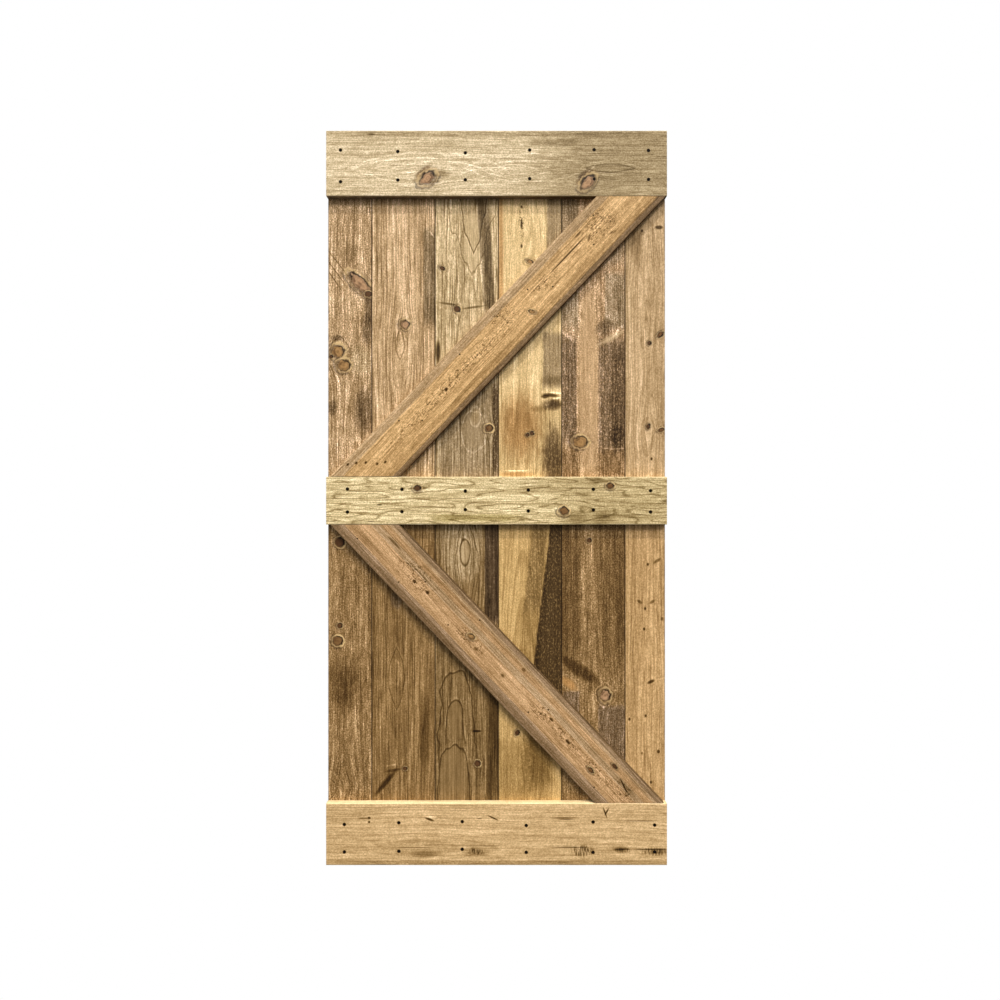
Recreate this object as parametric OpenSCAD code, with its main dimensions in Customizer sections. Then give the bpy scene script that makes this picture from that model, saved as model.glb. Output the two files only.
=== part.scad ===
// Sliding barn door slab of knotty pine: tongue-and-groove planks held by three
// face rails and two diagonal braces that form a K. It hangs by its top rail.
// X runs across the door, Y through its thickness with the rails on the -Y side,
// and Z up. The origin is the middle of the bottom edge. Sizes are millimetres.

/* [Door] */
// Width of the door
door_w = 990; // [860:1:1200]
// Height of the door
door_h = 2134; // [1780:1:2560]

/* [Planks] */
// Thickness of a plank
plank_t = 19; // [16:0.5:24]
// Width that one full plank covers between two joints
plank_cover_w = 186; // [155:1:200]
// How much wider the left edge plank is ripped than the right one
edge_plank_bias = 11; // [0:1:12]
// Thickness of the tongue
tongue_t = 6; // [4:0.5:8]
// Length of the tongue
tongue_l = 6; // [4:0.5:10]
// Play on each side of the tongue and at its tip
tongue_play = 0.15; // [0.1:0.05:0.3]
// Gap between the shoulders of two planks
joint_gap = 0.5; // [0.2:0.1:0.8]
// Chamfer along the long edges of a plank
plank_chamfer = 1.2; // [0.5:0.1:2]

/* [Rails] */
// Thickness of the rails and braces
rail_t = 19; // [16:0.5:24]
// Width of the top rail
top_rail_w = 190; // [150:1:240]
// Width of the middle rail
middle_rail_w = 139; // [110:1:180]
// Width of the bottom rail
bottom_rail_w = 180; // [150:1:240]
// How far the middle rail's centre line lies below the door's mid-height
middle_rail_drop = 8; // [0:1:60]
// Radius along the long edges of the rails and braces
board_edge_r = 1.6; // [0.5:0.1:3]

/* [Braces] */
// Width of a brace
brace_w = 146; // [110:1:180]
// Distance from the door's left edge to the outer corner of each brace
brace_inset_left = 12; // [3:1:30]
// Distance from the door's right edge to the upper brace's outer corner
upper_inset_right = 4; // [3:1:30]
// Distance from the door's right edge to the lower brace's outer corner
lower_inset_right = 8; // [3:1:30]
// Gap between a brace's cut end and the rail that it meets
brace_gap = 0.9; // [0.3:0.1:0.9]

/* [Rail screws] */
// Diameter of the countersunk head
screw_head_d = 8.6; // [7:0.1:10.5]
// Diameter of the shank
screw_shank_d = 4.2; // [3.5:0.1:5]
// How much of the boards' whole thickness is left behind the screw's point
screw_cover = 6; // [3:0.5:12]
// Depth of the head below the face of the rail
screw_sink = 0.7; // [0.3:0.1:2]
// Distance of the upper row of screws below the upper edge of a wide rail
upper_row_inset = 58; // [40:1:70]
// Distance of the top rail's lower row above its lower edge
top_rail_row_inset = 47; // [35:1:55]
// Distance of the bottom rail's lower row above the door's bottom edge
bottom_rail_row_inset = 39; // [30:1:50]
// Distance of both rows of the middle rail from its edges
middle_rail_row_inset = 38.5; // [25:0.5:45]

/* [Brace nails] */
// Diameter of a finishing nail's head
nail_head_d = 3; // [2.4:0.1:4]
// Diameter of its shank
nail_shank_d = 1.8; // [1.4:0.1:2.2]
// Depth of the head below the face of the brace
nail_sink = 0.8; // [0.3:0.1:2]
// How much of the boards' whole thickness is left behind the nail's point
nail_cover = 5; // [3:0.5:12]

/* [Hidden] */

plank_count = 6;
door_t = plank_t + rail_t;
front_y = -door_t / 2;             // outer face of the rails
seat_y = front_y + rail_t;         // where the rails lie on the planks
back_y = door_t / 2;               // outer face of the planks
edge_plank_w = (door_w - (plank_count - 2) * plank_cover_w) / 2;

cut_over = 1;                      // how far a cut runs past the face that it opens
arc_steps = 5;                     // facets in each rounded board edge
fastener_fn = 28;                  // facets round a screw or nail, above 12 so it stays round
hole_play = 0.1;                   // radial clearance of a screw in its hole
nail_play = 0.05;                  // radial clearance of a nail in its hole

screw_head_angle = 41;             // half angle of the countersunk head
screw_head_lip = 0.3;              // straight rim above the countersink
screw_tip_l = 6;                   // length of the point
screw_tip_d = 0.6;                 // width of the point's end
recess_arm_w = 1.3;                // width of each arm of the cross recess
recess_span = 4.8;                 // length of each arm, tip to tip
recess_depth = 2;
nail_head_h = 1.2;
nail_tip_l = 3;
nail_tip_d = 0.4;

screw_l = door_t - screw_sink - screw_cover;
nail_l = door_t - nail_sink - nail_cover;
fastener_edge = 12;                // least distance of a screw or nail from a plank's edge

// Left and right face edges of a plank, counted from 0 at the left
function plank_left(i) = i == 0 ? -door_w / 2
    : -door_w / 2 + edge_plank_w + edge_plank_bias / 2 + (i - 1) * plank_cover_w;
function plank_right(i) = i == plank_count - 1 ? door_w / 2 : plank_left(i + 1) - joint_gap;
function plank_mid(i) = (plank_left(i) + plank_right(i)) / 2;

// The place nearest to dx off a plank's centre line that keeps clear of its edges
function place_on_plank(i, dx) =
    let (room = (plank_right(i) - plank_left(i)) / 2 - fastener_edge)
    plank_mid(i) + sign(dx) * min(abs(dx), room);

// Height of each rail's lower and upper edge
middle_rail_z = door_h / 2 - middle_rail_drop;
top_span = [door_h - top_rail_w, door_h];
middle_span = [middle_rail_z - middle_rail_w / 2, middle_rail_z + middle_rail_w / 2];
bottom_span = [0, bottom_rail_w];

// Each brace as [lower end, upper end, reach across the door between its outer corners]
upper_frame = [middle_span[1] + brace_gap, top_span[0] - brace_gap,
    door_w - brace_inset_left - upper_inset_right];
lower_frame = [bottom_span[1] + brace_gap, middle_span[0] - brace_gap,
    door_w - brace_inset_left - lower_inset_right];
function rise(frame) = frame[1] - frame[0];
function reach(frame) = frame[2];

// Slope that lets a board of width brace_w touch both outer corners:
// reach * sin(slope) - rise * cos(slope) = brace_w
function slope(frame) = atan2(rise(frame), reach(frame))
    + asin(brace_w / sqrt(pow(rise(frame), 2) + pow(reach(frame), 2)));
// Where the centre line meets the level cut at the brace's left end
function start_x(frame) = -door_w / 2 + brace_inset_left + brace_w / sin(slope(frame)) / 2;
// How far the centre line has climbed, or dropped, above a place across the door
function climb(frame, x) = (x - start_x(frame)) * tan(slope(frame));

// Hand-driven screws stray from their marks. For each plank from the left:
// [sideways from the plank's centre line, height in the upper row, height in the lower row]
top_drift = [[-22, 1, -6], [-13, -3, -1], [-3, -7, 0], [-2, 1, 3], [-1, 2, 2], [5, 0, 1]];
middle_drift = [[-2, 3, -2], [-1, 2, -1], [-3, -3, 5], [-6, 0, 1], [-3, 2, 4], [11, -2, -2]];
bottom_drift = [[-11, -3, 0], [-10, 2, 2], [-12, 5, 8], [-12, -6, -1], [-4, 4, -1], [23, -5, 0]];

// The two rows of screws in a rail, as [x, z]
function screw_places(upper_z, lower_z, drift) = [
    for (i = [0 : plank_count - 1], row = [0, 1])
        [place_on_plank(i, drift[i][0]), (row == 0 ? upper_z : lower_z) + drift[i][1 + row]]];
top_screws = screw_places(top_span[1] - upper_row_inset, top_span[0] + top_rail_row_inset,
    top_drift);
middle_screws = screw_places(middle_span[1] - middle_rail_row_inset,
    middle_span[0] + middle_rail_row_inset, middle_drift);
bottom_screws = screw_places(bottom_span[1] - upper_row_inset,
    bottom_span[0] + bottom_rail_row_inset, bottom_drift);

// Nails through a brace: [plank, sideways from its centre line, square off the brace's
// centre line, towards the upper side]. They were shot in by eye.
upper_nail_marks = [[1, -10, 40], [1, 58, -9], [2, -19, 44], [2, 32, 6],
    [3, -8, 31], [3, 65, -16], [4, -3, 41], [4, -2, -18]];
lower_nail_marks = [[0, 27, -43], [1, -10, -43], [1, 68, 14], [2, -53, -25], [2, 39, 51],
    [3, -6, -31], [3, 52, 16], [4, -5, -15], [4, -1, -43]];
upper_nails = [for (mark = upper_nail_marks)
    let (x = place_on_plank(mark[0], mark[1]))
    [x, upper_frame[0] + climb(upper_frame, x) + mark[2] / cos(slope(upper_frame))]];
lower_nails = [for (mark = lower_nail_marks)
    let (x = place_on_plank(mark[0], mark[1]))
    [x, lower_frame[1] - climb(lower_frame, x) + mark[2] / cos(slope(lower_frame))]];

// Half section of a screw: top of the head at y = 0, point at y = -screw_l. A hole
// is the same shape with play all round, and its mouth carried up by open
module screw_section(play = 0, open = 0) {
    head_bottom = screw_head_lip + (screw_head_d - screw_shank_d) / 2 / tan(screw_head_angle);
    polygon([[0, open], [screw_head_d / 2 + play, open],
        [screw_head_d / 2 + play, -screw_head_lip], [screw_shank_d / 2 + play, -head_bottom],
        [screw_shank_d / 2 + play, -screw_l + screw_tip_l],
        [screw_tip_d / 2 + play, -screw_l - play], [0, -screw_l - play]]);
}

module nail_section(play = 0, open = 0) {
    polygon([[0, open], [nail_head_d / 2 + play, open],
        [nail_head_d / 2 + play, -nail_head_h], [nail_shank_d / 2 + play, -nail_head_h],
        [nail_shank_d / 2 + play, -nail_l + nail_tip_l],
        [nail_tip_d / 2 + play, -nail_l - play], [0, -nail_l - play]]);
}

// Turns a half section into a fastener that points along +Y
module driven() {
    rotate([90, 0, 0]) rotate_extrude($fn = fastener_fn) children();
}

module at_places(places, sink) {
    for (place = places) translate([place[0], front_y + sink, place[1]]) children();
}

// A screw with a cross recess in its head
module screw() {
    difference() {
        driven() screw_section();
        for (turn = [0, 90]) rotate([0, turn, 0])
            translate([-recess_span / 2, -cut_over, -recess_arm_w / 2])
                cube([recess_span, cut_over + recess_depth, recess_arm_w]);
    }
}

module screw_set(places) {
    color([0.08, 0.08, 0.08]) at_places(places, screw_sink) screw();
}

module nail_set(places) {
    color([0.34, 0.22, 0.12]) at_places(places, nail_sink) driven() nail_section();
}

module screw_holes(places) {
    at_places(places, screw_sink) driven() screw_section(hole_play, screw_sink + cut_over);
}

module nail_holes(places) {
    at_places(places, nail_sink) driven() nail_section(nail_play, nail_sink + cut_over);
}

// Section of a plank, with its groove to the left and its tongue to the right;
// the two edge planks have a plain outer edge
module plank_section(i) {
    x0 = plank_left(i);
    x1 = plank_right(i);
    c = plank_chamfer;
    mid_y = seat_y + plank_t / 2;
    groove_t = tongue_t + 2 * tongue_play;
    groove_l = tongue_l - joint_gap + tongue_play;
    difference() {
        polygon([[x0 + c, seat_y], [x1 - c, seat_y], [x1, seat_y + c], [x1, back_y - c],
            [x1 - c, back_y], [x0 + c, back_y], [x0, back_y - c], [x0, seat_y + c]]);
        if (i > 0)
            translate([x0 - cut_over, mid_y - groove_t / 2]) square([cut_over + groove_l, groove_t]);
    }
    if (i < plank_count - 1)
        translate([x1 - cut_over, mid_y - tongue_t / 2]) square([cut_over + tongue_l, tongue_t]);
}

// Those of the places that lie on plank i
function on_plank(places, i) = [
    for (place = places) if (place[0] > plank_left(i) && place[0] < plank_right(i)) place];

module plank(i) {
    color([0.62, 0.48, 0.32]) difference() {
        linear_extrude(height = door_h) plank_section(i);
        screw_holes(on_plank(concat(top_screws, middle_screws, bottom_screws), i));
        nail_holes(on_plank(concat(upper_nails, lower_nails), i));
    }
}

// A board of a given width lying along +X from the origin, centred on its axis,
// with its long edges rounded
module board(w, run) {
    x = rail_t / 2 - board_edge_r;
    y = w / 2 - board_edge_r;
    corners = [[x, y], [-x, y], [-x, -y], [x, -y]];
    rotate([90, 0, 90]) linear_extrude(height = run) polygon([
        for (corner = [0 : 3], step = [0 : arc_steps])
            let (a = 90 * (corner + step / arc_steps))
            corners[corner] + board_edge_r * [cos(a), sin(a)]]);
}

module rail(span, places) {
    color([0.78, 0.66, 0.45]) difference() {
        translate([-door_w / 2, front_y + rail_t / 2, (span[0] + span[1]) / 2])
            board(span[1] - span[0], door_w);
        screw_holes(places);
    }
}

// A board that rises to the right on its slope, cut level at both ends
module rising_board(frame) {
    start = brace_w;               // spare length before and after the level cuts
    intersection() {
        translate([start_x(frame), front_y + rail_t / 2, frame[0]])
            rotate([0, -slope(frame), 0]) translate([-start, 0, 0])
                board(brace_w, rise(frame) / sin(slope(frame)) + 2 * start);
        translate([-door_w / 2, front_y - cut_over, frame[0]])
            cube([door_w, rail_t + 2 * cut_over, rise(frame)]);
    }
}

module upper_brace() {
    color([0.76, 0.58, 0.36]) difference() {
        rising_board(upper_frame);
        nail_holes(upper_nails);
    }
}

// The lower brace falls to the right: a rising one turned over in height
module lower_brace() {
    color([0.74, 0.56, 0.38]) difference() {
        translate([0, 0, lower_frame[0] + lower_frame[1]]) mirror([0, 0, 1])
            rising_board(lower_frame);
        nail_holes(lower_nails);
    }
}

for (i = [0 : plank_count - 1])
    plank(i);
rail(top_span, top_screws);  // top_rail
rail(middle_span, middle_screws);  // middle_rail
rail(bottom_span, bottom_screws);  // bottom_rail
upper_brace();
lower_brace();
screw_set(top_screws);  // top_rail_screws
screw_set(middle_screws);  // middle_rail_screws
screw_set(bottom_screws);  // bottom_rail_screws
nail_set(upper_nails);  // upper_brace_nails
nail_set(lower_nails);  // lower_brace_nails
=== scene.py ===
"""Sliding barn door slab in stained knotty pine.

Every board is a mesh swept along its grain, with worn edges and slightly uneven faces,
and takes a solid wood material: growth rings round a pith, bent round the knots, with
stain laid over them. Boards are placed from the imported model. On a board, u runs along the
grain, v across it and w out of its front face. Meshes have them in metres from the board's
middle, and materials in millimetres from the middle of its front face.
"""
import math
import random

import bmesh
import bpy
import numpy as np
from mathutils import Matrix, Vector


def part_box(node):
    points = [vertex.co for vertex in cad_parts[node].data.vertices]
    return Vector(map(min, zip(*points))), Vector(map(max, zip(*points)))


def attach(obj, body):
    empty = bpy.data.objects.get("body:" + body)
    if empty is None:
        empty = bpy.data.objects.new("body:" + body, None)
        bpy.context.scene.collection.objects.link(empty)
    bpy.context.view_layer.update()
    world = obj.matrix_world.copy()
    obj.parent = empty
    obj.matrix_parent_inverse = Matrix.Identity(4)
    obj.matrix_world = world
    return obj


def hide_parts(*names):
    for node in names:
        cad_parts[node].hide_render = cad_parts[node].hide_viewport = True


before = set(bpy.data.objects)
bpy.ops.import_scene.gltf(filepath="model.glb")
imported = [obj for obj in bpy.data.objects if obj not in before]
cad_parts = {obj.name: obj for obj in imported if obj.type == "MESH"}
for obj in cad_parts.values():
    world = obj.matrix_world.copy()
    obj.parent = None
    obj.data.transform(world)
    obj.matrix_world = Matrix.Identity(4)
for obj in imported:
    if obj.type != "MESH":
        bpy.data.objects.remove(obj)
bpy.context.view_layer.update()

MM = 0.001
OUT = Vector((0, -1, 0))  # from the planks towards the rails

# Sizes that the boards share with the construction, in metres.
TONGUE_THICK = 6.0 * MM
TONGUE_LONG = 6.0 * MM
TONGUE_PLAY = 0.15 * MM
JOINT_GAP = 0.5 * MM
PLANK_CHAMFER = 1.2 * MM
BOARD_RADIUS = 1.6 * MM
BRACE_WIDTH = 146.0 * MM
SCREW_SHANK = 2.1 * MM
SCREW_LIP = 0.3 * MM
NAIL_SHANK = 0.9 * MM
NAIL_HEAD = 1.2 * MM
HOLE_PLAY = 0.1 * MM

# How the boards are meshed, cut, shaded and unwrapped.
FACE_STEP = 4.5 * MM
BACK_STEP = 9.0 * MM
GRAIN_STEP = 5.0 * MM
END_BEVEL = 0.5 * MM
CORNER_STEPS = 4
HOLE_SIDES = 28
HOLE_START = 10.0 * MM  # how far in front of the heads the holes are cut from
SMOOTH_BELOW = 35  # edges that turn by fewer degrees than this are shaded smooth
UV_MARGIN = 12.0 * MM  # between the strips of a board's skin

# How deep the boards are worn, in millimetres.
WEAR = 0.16
BROAD_WEAR = 0.07
FINE_WEAR = 0.05
CORNER_WEAR = 0.12
NICK_DEPTH = 0.7
KNOT_RAISED = 0.12
KNOT_GROOVE = 0.14
DEEPEST_WEAR = 1.2


# ---------------------------- the boards' places


class Board:
    """A board's place: grain runs along it and across over its face, seen from the front.

    slant is how far an end's cut moves along the grain for each metre across.
    """

    def __init__(self, name, slot, middle, grain, across, length, width, slant=0.0):
        self.name, self.slot, self.middle = name, slot, middle
        self.grain, self.across = grain, across
        self.length, self.width, self.slant = length, width, slant
        low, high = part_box(name)
        self.thick = high[1] - low[1]


def planks():
    """The planks' faces: what shows between two joints, without the tongue."""
    names = ["plank_%d" % n for n in range(1, 7)]
    boxes = [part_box(name) for name in names]
    for name, (low, high), after in zip(names, boxes, boxes[1:] + [None]):
        right = after[0][0] - JOINT_GAP if after else high[0]
        middle = Vector(((low[0] + right) / 2, (low[1] + high[1]) / 2, (low[2] + high[2]) / 2))
        yield Board(name, "planks", middle, Vector((0, 0, 1)), Vector((1, 0, 0)),
                    high[2] - low[2], right - low[0])


def rails():
    for name in ("top_rail", "middle_rail", "bottom_rail"):
        low, high = (Vector(corner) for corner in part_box(name))
        yield Board(name, "rails", (low + high) / 2, Vector((1, 0, 0)), Vector((0, 0, 1)),
                    high.x - low.x, high.z - low.z)


def braces():
    """The braces lie on a slope that lets them touch both outer corners of their box."""
    for name, up in (("upper_brace", 1), ("lower_brace", -1)):
        low, high = (Vector(corner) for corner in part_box(name))
        reach, rise = high.x - low.x, high.z - low.z
        slope = math.atan2(rise, reach) + math.asin(BRACE_WIDTH / math.hypot(rise, reach))
        grain = Vector((math.cos(slope), 0, up * math.sin(slope)))
        across = Vector((-up * math.sin(slope), 0, math.cos(slope)))
        yield Board(name, "braces", (low + high) / 2, grain, across, rise / math.sin(slope),
                    BRACE_WIDTH, slant=-up / math.tan(slope))


# ---------------------------- the boards' meshes


def plain_outline(board):
    """Corners of a rectangle with rounded long edges, as (across, out)."""
    r = BOARD_RADIUS
    x, y = board.width / 2 - r, board.thick / 2 - r
    points = []
    for n, (cx, cy) in enumerate(((x, y), (-x, y), (-x, -y), (x, -y))):
        for step in range(CORNER_STEPS + 1):
            a = math.radians(90 * (n + step / CORNER_STEPS))
            points.append((cx + r * math.cos(a), cy + r * math.sin(a)))
    return points


def plank_outline(board, groove, tongue):
    """Corners of a plank's section, with its groove to the left and tongue to the right."""
    x, y, c = board.width / 2, board.thick / 2, PLANK_CHAMFER
    points = [(x - c, y), (-x + c, y), (-x, y - c)]
    if groove:
        half, deep = TONGUE_THICK / 2 + TONGUE_PLAY, TONGUE_LONG - JOINT_GAP + TONGUE_PLAY
        points += [(-x, half), (-x + deep, half), (-x + deep, -half), (-x, -half)]
    points += [(-x, -y + c), (-x + c, -y), (x - c, -y), (x, -y + c)]
    if tongue:
        half = TONGUE_THICK / 2
        points += [(x, -half), (x + TONGUE_LONG, -half), (x + TONGUE_LONG, half), (x, half)]
    points.append((x, y - c))
    return points


def finely(points, front):
    """The closed outline with its long sides cut into short ones, finest on the front."""
    fine = []
    for a, b in zip(points, points[1:] + points[:1]):
        step = FACE_STEP if min(a[1], b[1]) > front - 1e-5 else BACK_STEP
        parts = max(1, round(math.dist(a, b) / step))
        fine += [(a[0] + (b[0] - a[0]) * n / parts, a[1] + (b[1] - a[1]) * n / parts)
                 for n in range(parts)]
    return np.array(fine)


def waves(rng, u, v, size, count=6):
    """A smooth random surface between about -1 and 1, with features of that size."""
    total = np.zeros(np.broadcast(u, v).shape)
    for _ in range(count):
        turn, phase = rng.uniform(0, math.tau), rng.uniform(0, math.tau)
        pitch = math.tau / (size * rng.uniform(0.7, 1.6))
        total += np.sin(pitch * (u * math.cos(turn) + v * math.sin(turn)) + phase)
    return total / math.sqrt(count)


def wear(board, rng, u, outline, outward):
    """How far the surface lies under the true board, in metres: never above it."""
    v, w = outline[:, 0][None, :], outline[:, 1][None, :]
    depth = WEAR + BROAD_WEAR * waves(rng, u, v, 0.09) + FINE_WEAR * waves(rng, u, v, 0.023)
    corner = (np.abs(outward[:, 0]) > 0.2) & (np.abs(outward[:, 1]) > 0.2)
    dents = np.clip(waves(rng, u, w, 0.16) - 0.9, 0, 1)
    chips = np.clip(waves(rng, u, w, 0.035) - 1.2, 0, 1)
    depth = depth + corner[None, :] * (CORNER_WEAR + NICK_DEPTH * (dents + chips))
    for at_u, at_v, length, width, turn, _ in spots(LOOKS[board.name], "knots"):
        du, dv = u - at_u * MM, v - at_v * MM
        a = (du * math.cos(turn) + dv * math.sin(turn)) / (length * MM)
        b = (dv * math.cos(turn) - du * math.sin(turn)) / (width * MM)
        d = np.hypot(a, b)
        depth = depth - KNOT_RAISED * np.exp(-(d / 0.8) ** 4)
        depth = depth + KNOT_GROOVE * np.exp(-((d - 1.0) / 0.25) ** 2)
    return np.clip(depth, 0.0, DEEPEST_WEAR) * MM


def board_mesh(board, outline, firm, seed):
    """Sweeps the outline along the grain, wears it, caps its ends and unwraps it."""
    rng = random.Random(seed)
    outline = finely(outline, board.thick / 2)
    count = len(outline)
    side = np.roll(outline, -1, axis=0) - np.roll(outline, 1, axis=0)
    outward = np.stack([side[:, 1], -side[:, 0]], 1)
    outward /= np.linalg.norm(outward, axis=1)[:, None]

    inner = np.linspace(-board.length / 2 + END_BEVEL, board.length / 2 - END_BEVEL,
                        max(2, round(board.length / GRAIN_STEP)))
    along = np.concatenate([[-board.length / 2], inner, [board.length / 2]])
    u = along[:, None] + board.slant * outline[:, 0][None, :]
    under = wear(board, rng, u, outline, outward)
    if firm:  # a tongue and a groove keep their true faces
        under *= (np.abs(outline[:, 1]) > board.thick / 2 - PLANK_CHAMFER - 1e-5)[None, :]
    under[0] += END_BEVEL * 0.8
    under[-1] += END_BEVEL * 0.8
    v = outline[:, 0][None, :] - outward[:, 0][None, :] * under
    w = outline[:, 1][None, :] - outward[:, 1][None, :] * under
    u = along[:, None] + board.slant * v

    axes = np.array([board.grain, board.across, OUT])
    places = np.array(board.middle) + np.stack([u, v, w], -1) @ axes
    index = np.arange(len(along) * count).reshape(len(along), count)
    a, b = index[:-1], index[1:]
    quads = np.stack([a, b, np.roll(b, -1, 1), np.roll(a, -1, 1)], -1).reshape(-1, 4)
    faces = quads.tolist() + [index[0].tolist(), index[-1][::-1].tolist()]
    if board.grain.cross(board.across).dot(OUT) > 0:
        faces = [face[::-1] for face in faces]
    mesh = bpy.data.meshes.new(board.name + "_wood")
    mesh.from_pydata(places.reshape(-1, 3).tolist(), [], faces)
    unwrap(mesh, board, along, outline)
    return mesh


def unwrap(mesh, board, along, outline):
    """Lays the board's skin out in strips that fill a square, with the end cuts above."""
    sides = np.linalg.norm(np.roll(outline, -1, axis=0) - outline, axis=1)
    around = np.concatenate([[0], np.cumsum(sides)])
    count, girth = len(outline), around[-1]
    strips = max(1, round(math.sqrt(board.length / girth)))
    run, apart = board.length / strips, girth + UV_MARGIN
    size = max(run, strips * apart + board.thick + UV_MARGIN) + UV_MARGIN
    layer = mesh.uv_layers.new(name="OFBake")
    places = np.zeros((len(mesh.loops), 2))
    corner = 0
    for face in mesh.polygons:
        verts = list(face.vertices)
        if len(verts) == 4:  # on a strip
            near = min(n // count for n in verts)
            low = min(n % count for n in verts)
            wraps = max(n % count for n in verts) - low > 1
            strip = min(int((along[near] + board.length / 2) / run + 1e-6), strips - 1)
            for n in verts:
                r, i = divmod(n, count)
                s = around[count] if wraps and i == 0 else around[i]
                places[corner] = (along[r] + board.length / 2 - strip * run, s + strip * apart)
                corner += 1
        else:  # an end cut
            shift = 0.25 * size if verts[0] < count and verts[-1] < count else 0.75 * size
            for n in verts:
                v, w = outline[n % count]
                places[corner] = (shift + v, strips * apart + board.thick / 2 + w)
                corner += 1
    layer.data.foreach_set("uv", ((places + UV_MARGIN / 2) / size).ravel())


def add_object(name, data):
    """Puts a new object in the scene."""
    made = bpy.data.objects.new(name, data)
    bpy.context.collection.objects.link(made)
    return made


def solids(obj):
    """The separate solids of a CAD node, each as the (low, high) corners of its box."""
    bm = bmesh.new()
    bm.from_mesh(obj.data)
    bmesh.ops.remove_doubles(bm, verts=bm.verts, dist=1e-6)
    left, found = set(bm.verts), []
    while left:
        todo, seen = [left.pop()], []
        while todo:
            vert = todo.pop()
            seen.append(tuple(vert.co))
            near = {edge.other_vert(vert) for edge in vert.link_edges} & left
            left -= near
            todo += near
        found.append((Vector(np.min(seen, axis=0)), Vector(np.max(seen, axis=0))))
    bm.free()
    return found


def hole(bm, low, high, screw):
    """Adds the solid to cut away for one fastener, from its box: a head, a slope and a shank."""
    middle, head = (low + high) / 2, (high.x - low.x) / 2 + HOLE_PLAY
    body = (SCREW_SHANK if screw else NAIL_SHANK) + HOLE_PLAY
    lip = SCREW_LIP if screw else NAIL_HEAD
    slope = head - body if screw else 0.0
    steps = [(low.y - HOLE_START, head), (low.y + lip, head), (low.y + lip + slope, body),
             (high.y + HOLE_PLAY, body)]
    turns = np.linspace(0, math.tau, HOLE_SIDES, endpoint=False)
    rings = []
    for y, r in steps:
        rings.append([bm.verts.new((middle.x + r * math.cos(a), y, middle.z + r * math.sin(a)))
                      for a in turns])
    for one, two in zip(rings, rings[1:]):
        for n in range(HOLE_SIDES):
            m = (n + 1) % HOLE_SIDES
            bm.faces.new((one[n], one[m], two[m], two[n]))
    bm.faces.new(rings[0])
    bm.faces.new(rings[-1][::-1])


def cut_holes(piece, fasteners):
    """Sinks a stepped hole round each screw or nail that passes through the board."""
    bm = bmesh.new()
    for name in fasteners:
        for low, high in solids(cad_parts[name]):
            hole(bm, low, high, name.endswith("screws"))
    bmesh.ops.recalc_face_normals(bm, faces=bm.faces)
    mesh = bpy.data.meshes.new("holes")
    bm.to_mesh(mesh)
    bm.free()
    cutter = add_object("holes", mesh)
    cut = piece.modifiers.new("holes", "BOOLEAN")
    cut.operation, cut.solver, cut.object = "DIFFERENCE", "MANIFOLD", cutter
    bpy.context.view_layer.update()
    graph = bpy.context.evaluated_depsgraph_get()
    shaped = bpy.data.meshes.new_from_object(piece.evaluated_get(graph))
    piece.modifiers.clear()
    old, piece.data = piece.data, shaped
    bpy.data.meshes.remove(old)
    bpy.data.objects.remove(cutter)


# ---------------------------- shader arithmetic


def feed(node, *values):
    """Gives a node's inputs, in order, a number, a colour or another node's output."""
    for socket, value in zip(node.inputs, values):
        if isinstance(value, Field):
            value.tree.links.new(value.socket, socket)
        elif value is not None:
            socket.default_value = value


class Field:
    """The output of a shader node, which takes Python's arithmetic."""

    def __init__(self, tree, socket):
        self.tree, self.socket = tree, socket

    def math(self, operation, *others):
        node = self.tree.nodes.new("ShaderNodeMath")
        node.operation = operation
        feed(node, self, *others)
        return Field(self.tree, node.outputs[0])

    def __add__(self, other):
        return self.math("ADD", other)

    def __sub__(self, other):
        return self.math("SUBTRACT", other)

    def __rsub__(self, other):
        return self.math("MULTIPLY_ADD", -1.0, other)

    def __mul__(self, other):
        return self.math("MULTIPLY", other)

    def __truediv__(self, other):
        return self.math("DIVIDE", other)

    __radd__, __rmul__ = __add__, __mul__

    def peak(self, at, width):
        """1 where the field is at that value, fading within about that width."""
        off = (self - at) / width
        return (off * off * -1.0).math("EXPONENT")

    def step(self, low, high):
        """Rises smoothly from 0 to 1 between low and high, or falls if low is higher."""
        node = self.tree.nodes.new("ShaderNodeMapRange")
        node.interpolation_type = "SMOOTHSTEP"
        feed(node, self, low, high, 0.0, 1.0)
        return Field(self.tree, node.outputs[0])


def noise(u, v, w, detail=2.0, rough=0.5):
    """Noise from 0 to 1 with features of about one unit."""
    tree = u.tree
    place = tree.nodes.new("ShaderNodeCombineXYZ")
    feed(place, u, v, w)
    node = tree.nodes.new("ShaderNodeTexNoise")
    tree.links.new(place.outputs[0], node.inputs["Vector"])
    node.inputs["Scale"].default_value = 1.0
    node.inputs["Detail"].default_value = detail
    node.inputs["Roughness"].default_value = rough
    return Field(tree, node.outputs["Fac"])


def mix(amount, a, b):
    """Colour a with b laid over it."""
    tree = next(value.tree for value in (amount, a, b) if isinstance(value, Field))
    node = tree.nodes.new("ShaderNodeMix")
    node.data_type, node.clamp_factor = "RGBA", True
    for socket, value in ((node.inputs[0], amount), (node.inputs[6], a), (node.inputs[7], b)):
        if isinstance(value, Field):
            tree.links.new(value.socket, socket)
        else:
            socket.default_value = value
    return Field(tree, node.outputs[2])


def tone(red, green, blue):
    """A colour as it shows on a screen, from 0 to 255, as the shader's linear one."""
    levels = [level / 255 for level in (red, green, blue)]
    return (*(x / 12.92 if x < 0.04 else ((x + 0.055) / 1.055) ** 2.4 for x in levels), 1.0)


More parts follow.
